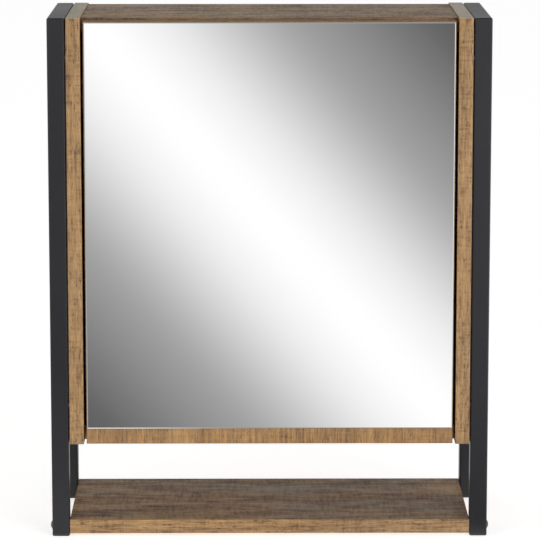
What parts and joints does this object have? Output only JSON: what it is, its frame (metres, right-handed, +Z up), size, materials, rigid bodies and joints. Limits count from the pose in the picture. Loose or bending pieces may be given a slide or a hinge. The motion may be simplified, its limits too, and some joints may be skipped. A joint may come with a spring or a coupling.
{
  "type": "mirror cabinet",
  "caption": "Wall cabinet with a mirrored door on concealed hinges, wood-decor boards, two square-tube side frames and an open shelf below.",
  "frame": {"origin": "on the plane the four feet stand on, in the middle of the width and of the depth", "axes": "+X to the right seen from the front, +Y from the front to the wall, +Z up"},
  "size_m": [0.5042, 0.2, 0.597],
  "materials": {
    "powder_coat": "fine textured matt",
    "plug_plastic": "moulded matt",
    "wood_decor": "printed decor, satin",
    "hardboard": "white coated on one side",
    "mirror": "silvered",
    "hinge_steel": "nickel plated",
    "zinc": "die cast",
    "screw_steel": "zinc plated",
    "black_bolt": "black",
    "dowel_wood": "beech",
    "bumper": "clear soft"
  },
  "bodies": {
    "cabinet": {"left_frame": "powder_coat", "right_frame": "powder_coat", "frame_end_plugs": "plug_plastic", "left_side_panel": "wood_decor", "right_side_panel": "wood_decor", "top_panel": "wood_decor", "bottom_panel": "wood_decor", "back_panel": "hardboard", "lower_shelf": "wood_decor", "lower_inner_shelf": "wood_decor", "upper_inner_shelf": "wood_decor", "shelf_pins": "screw_steel", "rivet_nuts": "zinc", "frame_screws": "screw_steel", "shelf_bolts": "black_bolt", "shelf_inserts": "zinc", "cam_housings": "zinc", "cam_bolts": "screw_steel", "wood_dowels": "dowel_wood", "keyhole_plates": "screw_steel", "keyhole_screws": "screw_steel", "arm_pins": "screw_steel", "hinge_arms": "hinge_steel", "mounting_plates": "zinc", "plate_screws": "screw_steel", "arm_screws": "screw_steel"},
    "outer_links": {"hinge_outer_links": "hinge_steel"},
    "inner_links": {"hinge_inner_links": "hinge_steel", "inner_link_pins": "screw_steel"},
    "door": {"door_board": "wood_decor", "mirror_glass": "mirror", "door_bumpers": "bumper", "hinge_cups": "hinge_steel", "cup_screws": "screw_steel", "cup_pins": "screw_steel"}
  },
  "joints": [
    {"name": "link_swing", "type": "hinge", "parent": "cabinet", "child": "outer_links", "pos_m": [-0.183, -0.0751, 0.3505], "axis": [0, 0, 1], "range_deg": [0, 48.45]},
    {"name": "door_swing", "type": "hinge", "parent": "outer_links", "child": "door", "pos_m": [-0.1998, -0.0846, 0.3505], "axis": [0, 0, -1], "range_deg": [0, 143.4]},
    {"name": "inner_link_swing", "type": "hinge", "parent": "cabinet", "child": "inner_links", "pos_m": [-0.1767, -0.0898, 0.3505], "axis": [0, 0, 1], "range_deg": [0, 48.45]}
  ],
  "couplings": [
    {"joint": "link_swing", "follows": "door_swing", "ratio": 0.33775},
    {"joint": "inner_link_swing", "follows": "door_swing", "ratio": 0.33775}
  ]
}
